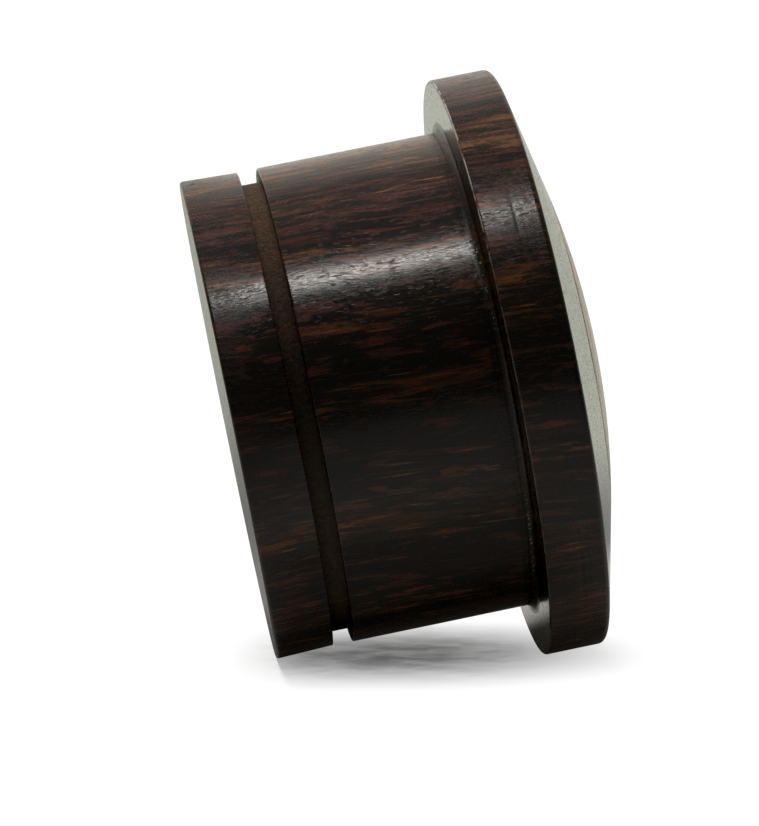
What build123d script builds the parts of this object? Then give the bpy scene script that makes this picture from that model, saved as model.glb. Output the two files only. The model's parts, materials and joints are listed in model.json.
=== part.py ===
from build123d import *
import math
import os

# A single-flare ear plug turned from dark wood, lying on its side.
#
# The plug is a solid of revolution. Along its axis, from the back end, it has
# a short land, a square O-ring groove, the straight barrel that sits in the
# ear, a wide flange, and a domed face: a shallow cone round a flush disc whose
# top is part of a sphere.
#
# It lies on the Z = 0 plane, as it does when it is put down: the back edge of
# the land and the rear edge of the flange touch the plane, so its axis leans
# up towards +X by rest_tilt. The origin is under the middle of its box.

# ---------------------------------------------------------------- dimensions
# Lengths are in millimetres. Stations are distances along the plug's axis
# from its flat back face.

# the wearable part
barrel_radius = 12.5          # 25 mm, the nominal gauge
land_back_radius = 12.58      # the land swells a little towards the back end
land_front_radius = 12.48
land_length = 3.0
groove_width = 1.05
groove_depth = 0.72
flange_station = 13.65        # rear face of the flange

# the flange and the domed face
flange_radius = 15.2
rim_station = 16.70           # where the face's cone meets the flange's rim
face_taper = 14.1             # degrees that the cone leans back from flat

# the disc in the domed face
inlay_radius = 9.6
inlay_seat_station = 16.0     # flat floor of the blind recess

# small edges
lying_edge_round = 0.15       # the two edges that the plug lies on
front_edge_round = 0.3
corner_fillet = 0.35          # inner corner between barrel and flange
groove_edge_round = 0.06
joint_edge_break = 0.07       # bevels both edges of the inlay's joint

# ------------------------------------------------------------ derived values
groove_end = land_length + groove_width
groove_floor_radius = barrel_radius - groove_depth
taper = math.radians(face_taper)
cap_radius = inlay_radius / math.sin(taper)    # the sphere carries the cone on smoothly
cap_edge_station = rim_station + (flange_radius - inlay_radius) * math.tan(taper)
cap_centre_station = cap_edge_station - cap_radius * math.cos(taper)
plug_length = cap_centre_station + cap_radius
rest_tilt = math.degrees(math.atan2(flange_radius - land_back_radius, flange_station))


def cone_station(radius):
    """Station of the face outside the disc, at a distance from the axis."""
    return rim_station + (flange_radius - radius) * math.tan(taper)


def cap_station(radius):
    """Station of the disc's top at a distance from the axis."""
    return cap_centre_station + math.sqrt(cap_radius**2 - radius**2)


def revolved(outline):
    """Turns a closed outline, drawn as (radius, station), round the axis."""
    face = make_face(Plane.XZ * outline)
    return revolve(face, Axis.Z)


def edges_at(solid, radius, station):
    """The round edges of a solid with a given radius, at a given station."""
    def matches(edge):
        if edge.geom_type != GeomType.CIRCLE:
            return False
        return (
            abs(edge.radius - radius) < 0.01
            and abs(edge.arc_center.Z - station) < 0.01
        )

    return solid.edges().filter_by(matches)


def make_plug_body():
    """Land, groove, barrel, flange and cone in one turned piece of wood."""
    mouth_radius = inlay_radius + joint_edge_break
    mouth_station = cone_station(mouth_radius)
    outline = Polyline(
        (0, 0),
        (land_back_radius, 0),
        (land_front_radius, land_length),
        (groove_floor_radius, land_length),
        (groove_floor_radius, groove_end),
        (barrel_radius, groove_end),
        (barrel_radius, flange_station),
        (flange_radius, flange_station),
        (flange_radius, rim_station),
        (mouth_radius, mouth_station),
        (inlay_radius, mouth_station - joint_edge_break),
        (inlay_radius, inlay_seat_station),
        (0, inlay_seat_station),
        (0, 0),
    )
    body = revolved(outline)

    lying_edges = edges_at(body, land_back_radius, 0)
    lying_edges += edges_at(body, flange_radius, flange_station)
    body = fillet(lying_edges, lying_edge_round)
    body = fillet(edges_at(body, flange_radius, rim_station), front_edge_round)
    body = fillet(edges_at(body, barrel_radius, flange_station), corner_fillet)
    groove_edges = edges_at(body, land_front_radius, land_length)
    groove_edges += edges_at(body, barrel_radius, groove_end)
    return fillet(groove_edges, groove_edge_round)


def make_face_inlay():
    """The disc glued into the blind recess, flush with the cone round it."""
    top_radius = inlay_radius - joint_edge_break
    top_station = cap_station(top_radius)
    side = Polyline(
        (0, plug_length),
        (0, inlay_seat_station),
        (inlay_radius, inlay_seat_station),
        (inlay_radius, top_station - joint_edge_break),
        (top_radius, top_station),
    )
    halfway = top_radius / 2
    cap = ThreePointArc(
        (top_radius, top_station), (halfway, cap_station(halfway)), (0, plug_length)
    )
    return revolved(side + cap)


def resting_place():
    """Where the upright plug goes so that it lies on Z = 0, centred in X."""
    lean = math.radians(rest_tilt)
    # The lowest line touches the two equal edge rounds, one at each end.
    centre_radius = land_back_radius - lying_edge_round
    centre_station = lying_edge_round
    lowest = centre_station * math.sin(lean) - centre_radius * math.cos(lean)
    lift = lying_edge_round - lowest
    # The back edge's upper corner is the furthest point on one side.
    back_most = centre_station * math.cos(lean) - centre_radius * math.sin(lean)
    back_most -= lying_edge_round
    # The disc is the furthest on the other side, where its normal is level.
    front_most = cap_centre_station * math.cos(lean) + cap_radius
    middle = (back_most + front_most) / 2
    return Pos(-middle, 0, lift) * Rot(0, 90 - rest_tilt, 0)


nodes = {
    "plug_body": make_plug_body(),
    "face_inlay": make_face_inlay(),
}

os.makedirs("parts", exist_ok=True)
place = resting_place()
for name, solid in nodes.items():
    export_step(place * solid, f"parts/{name}.step")

print("rest tilt in degrees", round(rest_tilt, 4))
print("place of the back face's centre", place.position)
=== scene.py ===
import bpy
import json
import math
from mathutils import Matrix, Vector, noise


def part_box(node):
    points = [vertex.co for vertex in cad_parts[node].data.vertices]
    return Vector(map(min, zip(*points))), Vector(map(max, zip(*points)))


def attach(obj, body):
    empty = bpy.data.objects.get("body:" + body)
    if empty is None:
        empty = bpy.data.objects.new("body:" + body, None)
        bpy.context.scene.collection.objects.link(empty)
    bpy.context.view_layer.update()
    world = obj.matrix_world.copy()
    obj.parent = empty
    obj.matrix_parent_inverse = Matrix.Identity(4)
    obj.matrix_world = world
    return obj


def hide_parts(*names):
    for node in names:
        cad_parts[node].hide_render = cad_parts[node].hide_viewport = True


# A turned wooden ear plug lying on a white floor. The two CAD nodes are
# replaced by finely turned meshes of the same size, with softened edges, faint
# tool lines and a rough groove floor, so that the highlights break as they do
# on real wood. Lengths are in metres; MM turns millimetres into metres.

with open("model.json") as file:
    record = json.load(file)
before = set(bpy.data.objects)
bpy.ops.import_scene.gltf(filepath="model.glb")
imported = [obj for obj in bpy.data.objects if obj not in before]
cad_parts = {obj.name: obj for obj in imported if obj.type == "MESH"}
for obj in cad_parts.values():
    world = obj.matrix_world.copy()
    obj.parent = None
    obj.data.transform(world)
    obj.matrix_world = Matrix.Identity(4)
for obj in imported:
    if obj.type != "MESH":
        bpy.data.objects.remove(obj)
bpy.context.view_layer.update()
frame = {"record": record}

MM = 0.001

# ------------------------------------------------------- sizes from the frame
mounts = {mount["name"]: mount for mount in frame["record"]["mounts"]}
body_low, body_high = [Vector(corner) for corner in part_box("plug_body")]
disc_low, disc_high = [Vector(corner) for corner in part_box("face_inlay")]

AXIS = -Vector(mounts["back_face"]["axis"]).normalized()
BACK_CENTRE = Vector(mounts["back_face"]["pos_m"])
BARREL_R = mounts["barrel"]["dims"]["r_mm"] * MM
FLANGE_R = (body_high.y - body_low.y) / 2
INLAY_R = (disc_high.y - disc_low.y) / 2
GROOVE_R = mounts["oring_groove"]["dims"]["r_mm"] * MM
GROOVE_WIDTH = mounts["oring_groove"]["dims"]["length_mm"] * MM
groove_middle = (Vector(mounts["oring_groove"]["pos_m"]) - BACK_CENTRE).dot(AXIS)
LAND_END = groove_middle - GROOVE_WIDTH / 2
GROOVE_END = groove_middle + GROOVE_WIDTH / 2

# --------------------------------------- sizes that the frame doesn't hold
LAND_BACK_R = 12.58 * MM
LAND_FRONT_R = 12.48 * MM
FACE_TAPER = math.radians(14.1)
LYING_ROUND = 0.15 * MM
FRONT_ROUND = 0.3 * MM
CORNER_FILLET = 0.35 * MM
GROOVE_ROUND = 0.06 * MM
JOINT_BREAK = 0.07 * MM
SEAT_STATION = 16.0 * MM

# Fine tool lines, as (station, depth), on the land and on the flange's rim.
LAND_LINES = [(1.62 * MM, 0.002 * MM), (2.45 * MM, 0.003 * MM)]
RIM_LINES = [(15.36 * MM, 0.007 * MM), (15.72 * MM, 0.004 * MM)]
GROOVE_TEAR = 0.012 * MM        # how deep the groove's floor is torn at most

# The plug leans because the flange is wider than the land that it lies on.
FLANGE_STATION = (FLANGE_R - LAND_BACK_R) * AXIS.x / AXIS.z

# The face is a shallow cone, and the disc's top is a sphere that carries it on.
CAP_R = INLAY_R / math.sin(FACE_TAPER)
CAP_CENTRE = (disc_high.x - BACK_CENTRE.x - CAP_R) / AXIS.x
CAP_EDGE = CAP_CENTRE + CAP_R * math.cos(FACE_TAPER)
RIM_STATION = CAP_EDGE - (FLANGE_R - INLAY_R) * math.tan(FACE_TAPER)

SEGMENTS = 720
SAME_POINT = 1e-7               # closer outline points are one point

# ------------------------------------------------------ where the camera looks
CAMERA_AZIMUTH = math.radians(-5.08)
CAMERA_ELEVATION = math.radians(8.54)
CAMERA_DISTANCE = 185.35 * MM
CAMERA_LENS = 155.34
AIM_STATION = 10.0 * MM
AIM_RIGHT = -1.905 * MM
AIM_UP = -1.595 * MM

camera_right = Vector((math.cos(CAMERA_AZIMUTH), math.sin(CAMERA_AZIMUTH), 0))
camera_back = Vector(
    (
        camera_right.y * math.cos(CAMERA_ELEVATION),
        -camera_right.x * math.cos(CAMERA_ELEVATION),
        math.sin(CAMERA_ELEVATION),
    )
)
camera_up = camera_back.cross(camera_right)


def cone_station(radius):
    """Station of the face outside the disc, at a distance from the axis."""
    return RIM_STATION + (FLANGE_R - radius) * math.tan(FACE_TAPER)


def cap_station(radius):
    """Station of the disc's top at a distance from the axis."""
    return CAP_CENTRE + math.sqrt(CAP_R**2 - radius**2)


# ------------------------------------------------------------------- outlines
# An outline is a list of (radius, station, cut) points, in order from the axis
# at the back to the axis at the front. The cut is how deep a tool line goes.

def run(start, end, steps, tight=0.02 * MM):
    """A straight run, with a ring close to each end to keep flats flat."""
    length = math.dist(start, end)
    edge = min(tight / length, 0.2)
    shares = [0.0, edge]
    shares += [edge + (1 - 2 * edge) * i / steps for i in range(1, steps)]
    shares += [1 - edge, 1.0]
    return [
        (
            start[0] + (end[0] - start[0]) * share,
            start[1] + (end[1] - start[1]) * share,
            0.0,
        )
        for share in shares
    ]


def arc(centre, radius, start_deg, end_deg, steps=7):
    """A round edge; 0 degrees points away from the axis, 90 to the front."""
    points = []
    for i in range(steps + 1):
        angle = math.radians(start_deg + (end_deg - start_deg) * i / steps)
        across = centre[0] + radius * math.cos(angle)
        along = centre[1] + radius * math.sin(angle)
        points.append((across, along, 0.0))
    return points


def scored(points, lines, half_width=0.04 * MM):
    """Cuts fine tool lines, given as (station, depth), into a run."""
    marked = list(points)
    for station, depth in lines:
        before = [p for p in marked if p[1] < station - half_width]
        after = [p for p in marked if p[1] > station + half_width]
        a, b = before[-1], after[0]
        share = (station - a[1]) / (b[1] - a[1])
        radius = a[0] + (b[0] - a[0]) * share
        line = [
            (radius, station - half_width, 0.0),
            (radius, station, depth),
            (radius, station + half_width, 0.0),
        ]
        marked = before + line + after
    return marked


def body_outline():
    """The plug's own outline, with the blind recess for the disc."""
    round_r = LAND_BACK_R - LYING_ROUND
    points = run((0, 0), (round_r, 0), 10)
    points += arc((round_r, LYING_ROUND), LYING_ROUND, -90, 0)

    land = run(
        (LAND_BACK_R, LYING_ROUND), (LAND_FRONT_R, LAND_END - GROOVE_ROUND), 10
    )
    points += scored(land, LAND_LINES)
    points += arc(
        (LAND_FRONT_R - GROOVE_ROUND, LAND_END - GROOVE_ROUND), GROOVE_ROUND, 0, 90, 5
    )
    points += run((LAND_FRONT_R - GROOVE_ROUND, LAND_END), (GROOVE_R, LAND_END), 4)
    points += run((GROOVE_R, LAND_END), (GROOVE_R, GROOVE_END), 16)
    points += run((GROOVE_R, GROOVE_END), (BARREL_R - GROOVE_ROUND, GROOVE_END), 4)
    points += arc(
        (BARREL_R - GROOVE_ROUND, GROOVE_END + GROOVE_ROUND), GROOVE_ROUND, -90, 0, 5
    )

    fillet_start = FLANGE_STATION - CORNER_FILLET
    points += run((BARREL_R, GROOVE_END + GROOVE_ROUND), (BARREL_R, fillet_start), 30)
    points += arc((BARREL_R + CORNER_FILLET, fillet_start), CORNER_FILLET, 180, 90)
    rim_round_r = FLANGE_R - LYING_ROUND
    points += run(
        (BARREL_R + CORNER_FILLET, FLANGE_STATION), (rim_round_r, FLANGE_STATION), 8
    )
    points += arc((rim_round_r, FLANGE_STATION + LYING_ROUND), LYING_ROUND, -90, 0)

    # The front edge's round touches the rim and the cone.
    round_fall = FRONT_ROUND * math.tan((math.pi / 2 - FACE_TAPER) / 2)
    front_centre = (FLANGE_R - FRONT_ROUND, RIM_STATION - round_fall)
    rim = run((FLANGE_R, FLANGE_STATION + LYING_ROUND), (FLANGE_R, front_centre[1]), 10)
    points += scored(rim, RIM_LINES)
    points += arc(front_centre, FRONT_ROUND, 0, 90 - math.degrees(FACE_TAPER), 10)

    cone_edge = front_centre[0] + FRONT_ROUND * math.sin(FACE_TAPER)
    mouth = INLAY_R + JOINT_BREAK
    points += run((cone_edge, cone_station(cone_edge)), (mouth, cone_station(mouth)), 14)
    bevel_foot = cone_station(mouth) - JOINT_BREAK
    points += run((INLAY_R, bevel_foot), (INLAY_R, SEAT_STATION), 4)
    points += run((INLAY_R, SEAT_STATION), (0, SEAT_STATION), 6)
    return points


def disc_outline():
    """The disc in the domed face."""
    top = INLAY_R - JOINT_BREAK
    points = run((0, SEAT_STATION), (INLAY_R, SEAT_STATION), 6)
    bevel_foot = cap_station(top) - JOINT_BREAK
    points += run((INLAY_R, SEAT_STATION), (INLAY_R, bevel_foot), 4)
    for i in range(25):
        radius = top * (1 - i / 24)
        points.append((radius, cap_station(radius), 0.0))
    return points


# --------------------------------------------------------------------- meshes
def in_groove(radius, station):
    inside = LAND_END - GROOVE_ROUND < station < GROOVE_END + GROOVE_ROUND
    return inside and radius < BARREL_R - GROOVE_ROUND


def worn_radius(point, radius, station, cut):
    """The radius at a surface point, as far as the lathe left it untrue."""
    if cut > 0:
        # A tool line comes and goes round the plug.
        strength = noise.noise(point * 150) + 0.35 * noise.noise(point * 1900)
        return radius - cut * min(max(0.55 + strength, 0.0), 1.0)
    if in_groove(radius, station):
        return radius + min(noise.noise(point * 2600), 0.0) * GROOVE_TEAR
    return radius


def turned(name, outline):
    """A closed mesh turned from an outline about the plug's axis."""
    rings = []
    for ring in outline:
        if rings and math.dist(rings[-1][:2], ring[:2]) < SAME_POINT:
            continue
        rings.append(ring)
    inner = rings[1:-1]

    side = Vector((0, 1, 0))
    up = AXIS.cross(side)
    verts = [BACK_CENTRE + AXIS * rings[0][1]]
    for radius, station, cut in inner:
        centre = BACK_CENTRE + AXIS * station
        for i in range(SEGMENTS):
            angle = 2 * math.pi * i / SEGMENTS
            outward = up * math.cos(angle) + side * math.sin(angle)
            worn = worn_radius(centre + outward * radius, radius, station, cut)
            verts.append(centre + outward * worn)
    verts.append(BACK_CENTRE + AXIS * rings[-1][1])

    last = len(verts) - 1
    faces = []
    for i in range(SEGMENTS):
        j = (i + 1) % SEGMENTS
        faces.append((0, 1 + i, 1 + j))
        for ring in range(len(inner) - 1):
            low = 1 + ring * SEGMENTS
            high = low + SEGMENTS
            faces.append((low + i, high + i, high + j, low + j))
        top = 1 + (len(inner) - 1) * SEGMENTS
        faces.append((top + i, last, top + j))

    mesh = bpy.data.meshes.new(name)
    mesh.from_pydata(verts, [], faces)
    mesh.validate()
    mesh.shade_smooth()
    mesh.set_sharp_from_angle(angle=math.radians(40))
    piece = bpy.data.objects.new(name, mesh)
    bpy.context.collection.objects.link(piece)
    return piece


# ------------------------------------------------------------------ materials
class Shader:
    """A material's nodes, made by short calls that each return a socket."""

    def __init__(self, name):
        self.material = bpy.data.materials.new(name)
        self.material.use_nodes = True
        self.tree = self.material.node_tree
        self.bsdf = self.tree.nodes["Principled BSDF"]
        coordinates = self.tree.nodes.new("ShaderNodeTexCoord")
        self.point = coordinates.outputs["Object"]
        # place: millimetres from the back face's centre, with Z along the axis
        lean = self.tree.nodes.new("ShaderNodeMapping")
        lean.vector_type = "TEXTURE"
        lean.inputs["Location"].default_value = BACK_CENTRE
        lean.inputs["Rotation"].default_value = (0, math.atan2(AXIS.x, AXIS.z), 0)
        lean.inputs["Scale"].default_value = (MM, MM, MM)
        self.put(lean.inputs["Vector"], self.point)
        self.place = lean.outputs["Vector"]

    def put(self, socket, value):
        if isinstance(value, bpy.types.NodeSocket):
            self.tree.links.new(value, socket)
        else:
            socket.default_value = value

    def vector_maths(self, operation, first, second):
        node = self.tree.nodes.new("ShaderNodeVectorMath")
        node.operation = operation
        self.put(node.inputs[0], first)
        self.put(node.inputs[1], second)
        return node.outputs["Vector"]

    def noise(self, vector, scale, detail=2.0, rough=0.5, output="Fac"):
        node = self.tree.nodes.new("ShaderNodeTexNoise")
        self.put(node.inputs["Vector"], vector)
        node.inputs["Scale"].default_value = scale
        node.inputs["Detail"].default_value = detail
        node.inputs["Roughness"].default_value = rough
        return node.outputs[output]

    def step(self, value, low, high, start=0.0, end=1.0):
        """Smooth change from start to end as value goes from low to high."""
        node = self.tree.nodes.new("ShaderNodeMapRange")
        node.interpolation_type = "SMOOTHSTEP"
        self.put(node.inputs["Value"], value)
        node.inputs["From Min"].default_value = low
        node.inputs["From Max"].default_value = high
        node.inputs["To Min"].default_value = start
        node.inputs["To Max"].default_value = end
        return node.outputs["Result"]

    def maths(self, operation, first, second=0.0):
        node = self.tree.nodes.new("ShaderNodeMath")
        node.operation = operation
        self.put(node.inputs[0], first)
        self.put(node.inputs[1], second)
        return node.outputs["Value"]

    def band(self, value, low, high, soft):
        """1 between low and high, with soft edges, and 0 outside."""
        rise = self.step(value, low - soft, low + soft)
        fall = self.step(value, high - soft, high + soft, 1.0, 0.0)
        return self.maths("MULTIPLY", rise, fall)

    def mix(self, share, first, second):
        """A colour between two colours."""
        node = self.tree.nodes.new("ShaderNodeMix")
        node.data_type = "RGBA"
        self.put(node.inputs["Factor"], share)
        self.put(node.inputs["A"], first)
        self.put(node.inputs["B"], second)
        return node.outputs["Result"]

    def parts(self, vector):
        node = self.tree.nodes.new("ShaderNodeSeparateXYZ")
        self.put(node.inputs[0], vector)
        return node.outputs

    def wavy(self, amount, factors):
        """The place, pushed about by a broad noise so that fibres wander."""
        broad = self.vector_maths("MULTIPLY", self.place, factors)
        push = self.noise(broad, 1.0, 1.0, output="Color")
        push = self.vector_maths("SUBTRACT", push, (0.5, 0.5, 0.5))
        push = self.vector_maths("MULTIPLY", push, (amount, amount, amount))
        return self.vector_maths("ADD", self.place, push)

    def slanted(self, vector, slope):
        """The place, sheared so that the fibres run down across the axis."""
        z = self.parts(vector)[2]
        node = self.tree.nodes.new("ShaderNodeCombineXYZ")
        self.put(node.inputs[0], self.maths("MULTIPLY", z, -slope))
        return self.vector_maths("ADD", vector, node.outputs["Vector"])

    def bump(self, height, distance):
        node = self.tree.nodes.new("ShaderNodeBump")
        node.inputs["Strength"].default_value = 1.0
        node.inputs["Distance"].default_value = distance
        self.put(node.inputs["Height"], height)
        return node.outputs["Normal"]


def dark_wood():
    """Near-black brown wood with red-brown fibres along the plug's axis."""
    s = Shader("dark_wood")
    fibre_place = s.slanted(s.wavy(1.0, (0.10, 0.10, 0.13)), 0.06)

    def grain(scale, along, detail=2.0, rough=0.5):
        """Noise of a given size across the fibres, drawn out along them."""
        stretched = s.vector_maths("MULTIPLY", fibre_place, (1, 1, along))
        return s.noise(stretched, scale, detail, rough)

    def times(first, second):
        return s.maths("MULTIPLY", first, second)

    def larger(first, second):
        return s.maths("MAXIMUM", first, second)

    # In millimetres: x is how far a point is below the plug's axis, y how far
    # behind it, seen from the camera, and z is its station.
    x, y, z = (s.parts(s.place)[i] for i in range(3))
    radius = s.maths("SQRT", s.maths("ADD", times(x, x), times(y, y)))
    barrel_r = BARREL_R / MM
    flange_r = FLANGE_R / MM
    flange_z = FLANGE_STATION / MM

    # Where the surface is: the groove, and the flange's inner corner and edge.
    in_notch = s.step(radius, barrel_r - 0.14, barrel_r - 0.08, 1.0, 0.0)
    groove = times(in_notch, s.band(z, LAND_END / MM, GROOVE_END / MM, 0.02))
    near_barrel = s.band(radius, barrel_r - 0.5, barrel_r + 0.5, 0.1)
    corner = times(s.band(z, flange_z - 0.44, flange_z + 0.06, 0.05), near_barrel)
    on_barrel = s.step(radius, barrel_r + 0.4, barrel_r + 0.5, 1.0, 0.0)
    dark_line = times(s.band(z, flange_z - 0.72, flange_z - 0.56, 0.05), on_barrel)
    on_fillet = s.step(radius, barrel_r - 0.10, barrel_r - 0.04)
    crease = times(s.band(z, flange_z - 0.28, flange_z - 0.18, 0.03), on_fillet)
    on_rim = s.step(radius, flange_r - 0.25, flange_r - 0.15)
    rear_edge = times(on_rim, s.band(z, flange_z + 0.02, flange_z + 0.07, 0.015))

    # Where the fibres end: the back face, the flange's rear face, the domed face.
    slope = math.tan(FACE_TAPER)
    on_cone = s.maths("ADD", z, times(radius, slope))
    cone_sum = (RIM_STATION + FLANGE_R * slope) / MM
    back_face = s.step(z, 0.02, 0.08, 1.0, 0.0)
    domed_face = s.step(on_cone, cone_sum - 0.1, cone_sum - 0.04)
    past_corner = s.step(radius, barrel_r + 0.4, barrel_r + 0.6)
    flange_rear = times(s.band(z, flange_z - 0.04, flange_z + 0.04, 0.02), past_corner)
    end_grain = larger(larger(back_face, domed_face), flange_rear)

    # The wood's patterns, from broad to fine. Painted shade: the side facing the
    # camera is painted darkest a little above its middle, where it mirrors the dark front.
    painted_front_shade = times(s.band(x, -5.0, 2.0, 2.0), s.step(y, -6, -2, 0.10, 0.0))
    figure = s.step(s.maths("SUBTRACT", grain(0.45, 0.12), painted_front_shade), 0.38, 0.62)
    dashes = s.step(grain(2.1, 0.17), 0.565, 0.62)
    lines = s.step(grain(4.6, 0.035, 2.0, 0.55), 0.49, 0.61)
    fibres = grain(8.0, 0.07, 2.0, 0.6)
    glints = s.step(grain(5.5, 0.055, 1.0), 0.59, 0.70)
    pits = s.step(grain(8.0, 0.20, 1.0), 0.60, 0.66)
    grit = s.noise(s.place, 9.0, 3.0, 0.6)
    grain_grit = grain(15.0, 0.30, 3.0, 0.7)

    black = s.mix(figure, (0.0075, 0.0073, 0.0071, 1), (0.0160, 0.0112, 0.0078, 1))
    brown = s.mix(figure, (0.062, 0.0190, 0.0125, 1), (0.102, 0.038, 0.0140, 1))
    # There are more fine lines in the upper side of the blank, partly grain and partly
    # painted light that makes the top lighter.
    fine = larger(s.step(figure, 0.0, 1.0, 0.10, 0.95), s.step(x, -10, -6, 0.50, 0.0))
    fine = times(fine, s.step(x, -7.0, 1.0, 1.0, 0.35))
    colour = s.mix(times(lines, fine), black, brown)
    # The dashes are broken by the fibres, and there are fewer of them on top.
    share = times(dashes, s.step(fibres, 0.36, 0.62, 0.25, 1.0))
    share = times(share, s.step(x, -9.5, -5.5, 0.35, 1.0))
    colour = s.mix(share, colour, brown)
    share = times(glints, s.step(fibres, 0.42, 0.60, 0.1, 0.9))
    share = times(share, s.step(figure, 0.0, 1.0, 0.15, 1.0))
    colour = s.mix(share, colour, (0.190, 0.074, 0.025, 1))
    colour = s.mix(times(pits, 0.85), colour, (0.030, 0.0070, 0.0060, 1))
    # The groove is dull and mottled, and painted lighter lower down as painted light
    # thrown up from the floor.
    painted_floor_bounce = s.step(x, -3.0, 4.0)
    olive = s.mix(painted_floor_bounce, (0.021, 0.0155, 0.0105, 1), (0.090, 0.078, 0.062, 1))
    mottle = s.mix(s.step(grit, 0.40, 0.66), olive, (0.074, 0.045, 0.0225, 1))
    colour = s.mix(times(groove, 0.60), colour, mottle)
    # Painted highlight: the rear edge is painted light near the top, where light
    # catches its round, and only here and there below.
    painted_edge_highlight = times(rear_edge, s.step(s.noise(s.place, 1.3, 3.0), 0.40, 0.54))
    painted_edge_highlight = times(painted_edge_highlight, s.step(x, -9.5, -6.0, 0.95, 0.22))
    colour = s.mix(painted_edge_highlight, colour, (0.34, 0.33, 0.29, 1))
    colour = s.mix(times(end_grain, 0.6), colour, (0.0125, 0.0085, 0.0062, 1))
    # Painted reflection: the flange's rear face is painted light and streaky at the
    # bottom, where it would mirror the lit floor.
    streaks = s.noise(s.vector_maths("MULTIPLY", s.place, (0.25, 1, 1)), 6.0, 3.0, 0.6)
    painted_floor_reflection = times(flange_rear, s.step(x, 11.6, 12.8))
    painted_floor_reflection = times(painted_floor_reflection, s.step(streaks, 0.42, 0.60, 0.1, 0.85))
    colour = s.mix(painted_floor_reflection, colour, (0.300, 0.295, 0.200, 1))
    # Painted shade: the inner corner and the line beside it are painted dark.
    # There are specks of dust there too.
    shade = larger(times(corner, 0.5), times(dark_line, 0.6))
    colour = s.mix(shade, colour, (0.0070, 0.0055, 0.0045, 1))
    dusted = larger(s.band(x, 5.0, 9.5, 0.8), s.band(x, -7.5, -4.0, 0.8))
    specks = times(times(crease, dusted), s.step(grit, 0.57, 0.63))
    colour = s.mix(specks, colour, (0.42, 0.40, 0.35, 1))
    s.put(s.bsdf.inputs["Base Color"], colour)

    # Waxed wood, duller on the land, the rim, the groove and the inner corner.
    rough = s.step(grain_grit, 0.40, 0.60, 0.10, 0.25)
    rough = s.maths("ADD", rough, times(pits, 0.14))
    rough = s.maths("ADD", rough, times(dashes, 0.04))
    rubbed = larger(s.step(z, 0.5, 3.2, 0.13, 0.0), times(on_rim, 0.06))
    rough = s.maths("ADD", rough, rubbed)
    rough = s.maths("ADD", rough, larger(times(groove, 0.58), times(corner, 0.15)))
    s.put(s.bsdf.inputs["Roughness"], rough)

    height = times(grit, 0.30)
    height = s.maths("ADD", height, times(grain_grit, 0.9))
    height = s.maths("ADD", height, times(fibres, 0.20))
    height = s.maths("SUBTRACT", height, times(pits, 0.40))
    s.put(s.bsdf.inputs["Normal"], s.bump(height, 0.0043 * MM))
    return s.material


def inlay_wood():
    """Warm light-brown wood with its fibres across the face."""
    s = Shader("inlay_wood")
    fibre_place = s.wavy(1.5, (0.12, 0.12, 0.12))

    def grain(scale, along, detail=2.0, rough=0.5):
        """Noise of a given size across the fibres, drawn out along them."""
        stretched = s.vector_maths("MULTIPLY", fibre_place, (along, 1, 1))
        return s.noise(stretched, scale, detail, rough)

    figure = s.step(grain(0.55, 0.15, 3.0), 0.35, 0.65)
    fibres = grain(5.0, 0.06, 4.0, 0.6)
    pits = s.step(grain(8.0, 0.10, 1.0), 0.65, 0.70)
    light = s.mix(figure, (0.36, 0.17, 0.065, 1), (0.52, 0.29, 0.12, 1))
    deep = s.mix(figure, (0.18, 0.066, 0.025, 1), (0.31, 0.14, 0.052, 1))
    colour = s.mix(s.step(fibres, 0.38, 0.62), light, deep)
    colour = s.mix(s.maths("MULTIPLY", pits, 0.85), colour, (0.045, 0.018, 0.009, 1))
    s.put(s.bsdf.inputs["Base Color"], colour)
    rough = s.step(fibres, 0.3, 0.7, 0.22, 0.34)
    s.put(s.bsdf.inputs["Roughness"], s.maths("ADD", rough, s.maths("MULTIPLY", pits, 0.3)))
    height = s.maths("SUBTRACT", fibres, s.maths("MULTIPLY", pits, 1.5))
    s.put(s.bsdf.inputs["Normal"], s.bump(height, 0.008 * MM))
    return s.material


# ----------------------------------------------------------------- the pieces
def make_pieces():
    body = turned("turned_body", body_outline())
    body.data.materials.append(dark_wood())
    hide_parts("plug_body")
    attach(body, "root")

    disc = turned("inlay_disc", disc_outline())
    disc.data.materials.append(inlay_wood())
    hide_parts("face_inlay")
    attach(disc, "root")


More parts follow.
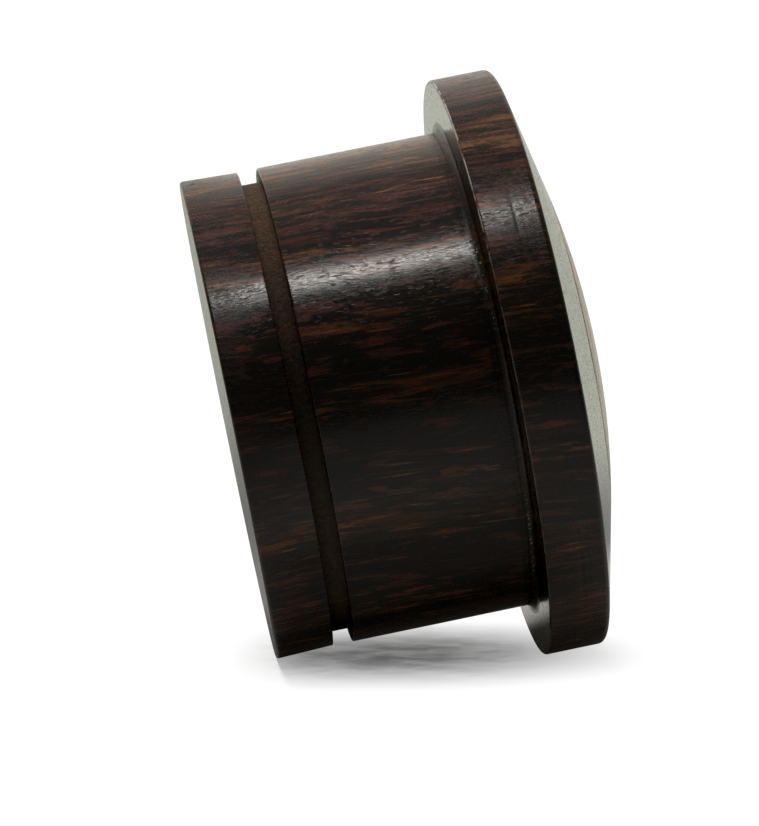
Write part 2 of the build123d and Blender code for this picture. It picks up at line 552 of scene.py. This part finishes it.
# ------------------------------------------------------------ floor and light
def make_floor():
    """White paper: bright to look at, but dimmer to what reflects in the plug."""
    half = 4.0
    mesh = bpy.data.meshes.new("floor")
    corners = [(-half, -half, 0), (half, -half, 0), (half, half, 0), (-half, half, 0)]
    mesh.from_pydata(corners, [], [(0, 1, 2, 3)])
    floor = bpy.data.objects.new("floor", mesh)
    bpy.context.collection.objects.link(floor)
    s = Shader("white_paper")
    nodes = s.tree.nodes
    right, back, _ = s.parts(s.point)

    def diffuse(value):
        node = nodes.new("ShaderNodeBsdfDiffuse")
        node.inputs["Color"].default_value = value
        return node.outputs["BSDF"]

    def glow(value, strength):
        node = nodes.new("ShaderNodeEmission")
        node.inputs["Color"].default_value = value
        s.put(node.inputs["Strength"], strength)
        return node.outputs["Emission"]

    def both(first, second):
        node = nodes.new("ShaderNodeAddShader")
        s.put(node.inputs[0], first)
        s.put(node.inputs[1], second)
        return node.outputs["Shader"]

    def blend(share, first, second):
        node = nodes.new("ShaderNodeMixShader")
        s.put(node.inputs["Fac"], share)
        s.put(node.inputs[1], first)
        s.put(node.inputs[2], second)
        return node.outputs["Shader"]

    # What the camera sees. The shadow is kept close to the plug, as a second
    # light in front would.
    white = (1.0, 1.0, 1.0, 1)
    shade_place = s.vector_maths("ADD", s.point, (0, 0.0008, 0))
    length = nodes.new("ShaderNodeVectorMath")
    length.operation = "LENGTH"
    s.put(length.inputs[0], s.vector_maths("MULTIPLY", shade_place, (1.2, 2, 1)))
    away = s.step(length.outputs["Value"], 0.002, 0.0205)
    # Painted reflection: streaky light added to the shadow under the plug.
    painted_floor_streaks = s.noise(s.vector_maths("MULTIPLY", s.point, (350, 700, 1)), 1.0, 3.0, 0.6)
    under_plug = s.step(s.maths("ABSOLUTE", right), 0.0055, 0.0080, 1.0, 0.0)
    painted_floor_streaks = s.maths("MULTIPLY", s.step(painted_floor_streaks, 0.35, 0.65, -0.055, 0.055), under_plug)
    in_shade = both(diffuse((0.53, 0.53, 0.53, 1)), glow(white, s.maths("ADD", painted_floor_streaks, 0.17)))
    seen = blend(away, in_shade, glow(white, 1.05))

    # What the plug feels. Near the plug the paper is dim, and brightest a
    # little in front of it and behind it.
    beside = s.maths("ABSOLUTE", back)
    rise = s.step(beside, 0.004, 0.013, 0.12, 1.0)
    under = s.maths("MULTIPLY", rise, s.step(beside, 0.014, 0.034, 0.18, 0.0))
    # A lit patch behind the flange's foot, for the flange's rear face to reflect.
    patch = s.maths("MULTIPLY", s.step(back, 0.0035, 0.0075, 0.0, 0.45), s.step(right, 0.002, 0.004))
    patch = s.maths("MULTIPLY", patch, s.step(back, 0.018, 0.030, 1.0, 0.0))
    under = s.maths("ADD", under, patch)
    near = both(diffuse((0.155, 0.155, 0.149, 1)), glow((1.0, 0.96, 0.87, 1), under))
    far_behind = s.step(back, 0.03, 0.09)
    felt = blend(far_behind, near, glow((0.93, 0.955, 0.81, 1), 0.98))

    path = nodes.new("ShaderNodeLightPath")
    paper = blend(path.outputs["Is Camera Ray"], felt, seen)
    s.put(nodes["Material Output"].inputs["Surface"], paper)
    floor.data.materials.append(s.material)


def area_light(name, turn_deg, along, width, height, radiance):
    """A softbox half a metre away, square to the plug and in line with its axis.

    It stands turn_deg above the side that faces the camera, measured round the
    plug's axis, and along is how far it leans towards the front, as a sine.
    """
    distance = 0.5
    toward = (camera_back - AXIS * camera_back.dot(AXIS)).normalized()
    above = toward.cross(AXIS)
    turn = math.radians(turn_deg)
    across = toward * math.cos(turn) + above * math.sin(turn)
    direction = AXIS * along + across * math.sqrt(1 - along**2)
    long_side = (AXIS - direction * AXIS.dot(direction)).normalized()
    short_side = direction.cross(long_side)

    data = bpy.data.lights.new(name, "AREA")
    data.shape = "RECTANGLE"
    data.size = width
    data.size_y = height
    data.energy = radiance * math.pi * width * height
    lamp = bpy.data.objects.new(name, data)
    middle = Vector((0, 0, body_high.z / 2))
    turned_to = Matrix((long_side, short_side, direction)).transposed().to_4x4()
    lamp.matrix_world = Matrix.Translation(middle + direction * distance) @ turned_to
    bpy.context.collection.objects.link(lamp)
    return lamp


def make_lights():
    # The softbox that shows as a bright band along the wood.
    gloss = area_light(
        "highlight_softbox", turn_deg=57.4, along=0.036, width=0.085, height=0.030, radiance=33.5
    )
    gloss.data.color = (1.0, 0.96, 0.91)
    gloss.visible_diffuse = False
    # The big overhead light that gives the wood its colour and the floor its shade.
    top = area_light(
        "overhead_light", turn_deg=101, along=0.0, width=0.22, height=0.26, radiance=34.0
    )
    top.visible_glossy = False


def make_world():
    """White to look at. What lights the plug is brighter behind it than in front."""
    world = bpy.data.worlds.new("studio")
    world.use_nodes = True
    tree = world.node_tree
    tree.nodes.clear()

    def ramp(value, low, high, start, end):
        node = tree.nodes.new("ShaderNodeMapRange")
        node.interpolation_type = "SMOOTHSTEP"
        node.inputs["From Min"].default_value = low
        node.inputs["From Max"].default_value = high
        node.inputs["To Min"].default_value = start
        node.inputs["To Max"].default_value = end
        tree.links.new(value, node.inputs["Value"])
        return node.outputs["Result"]

    def add(first, second):
        node = tree.nodes.new("ShaderNodeMath")
        node.operation = "ADD"
        tree.links.new(first, node.inputs[0])
        tree.links.new(second, node.inputs[1])
        return node.outputs["Value"]

    # The direction's Y goes from -1, in front of the plug, to 1, behind it.
    coordinates = tree.nodes.new("ShaderNodeTexCoord")
    parts = tree.nodes.new("ShaderNodeSeparateXYZ")
    tree.links.new(coordinates.outputs["Generated"], parts.inputs[0])
    depth = parts.outputs["Y"]
    ceiling = ramp(depth, -0.45, 0.30, 0.115, 0.195)
    rear_wall = ramp(depth, 0.53, 0.75, 0.0, 0.42)
    horizon = ramp(depth, 0.90, 0.98, 0.0, 0.13)

    lit = tree.nodes.new("ShaderNodeBackground")
    lit.inputs["Color"].default_value = (1.0, 0.99, 0.89, 1)
    tree.links.new(add(add(ceiling, rear_wall), horizon), lit.inputs["Strength"])
    seen = tree.nodes.new("ShaderNodeBackground")
    seen.inputs["Color"].default_value = (1, 1, 1, 1)
    path = tree.nodes.new("ShaderNodeLightPath")
    blend = tree.nodes.new("ShaderNodeMixShader")
    output = tree.nodes.new("ShaderNodeOutputWorld")
    tree.links.new(path.outputs["Is Camera Ray"], blend.inputs["Fac"])
    tree.links.new(lit.outputs["Background"], blend.inputs[1])
    tree.links.new(seen.outputs["Background"], blend.inputs[2])
    tree.links.new(blend.outputs["Shader"], output.inputs["Surface"])
    bpy.context.scene.world = world


def set_view():
    """Plain colours, with the deepest shadows set to black."""
    view = bpy.context.scene.view_settings
    view.view_transform = "Standard"
    view.use_curve_mapping = True
    view.curve_mapping.black_level = (0.004, 0.004, 0.004)
    view.curve_mapping.update()


# --------------------------------------------------------------------- camera
def make_camera():
    data = bpy.data.cameras.new("camera")
    data.lens = CAMERA_LENS
    data.clip_start = 0.01
    data.clip_end = 20
    camera = bpy.data.objects.new("camera", data)
    aim = BACK_CENTRE + AXIS * AIM_STATION
    aim += camera_right * AIM_RIGHT + camera_up * AIM_UP
    place = Matrix.Translation(aim + camera_back * CAMERA_DISTANCE)
    turn = Matrix((camera_right, camera_up, camera_back)).transposed().to_4x4()
    camera.matrix_world = place @ turn
    bpy.context.collection.objects.link(camera)
    bpy.context.scene.camera = camera


make_pieces()
make_floor()
make_lights()
make_world()
set_view()
make_camera()
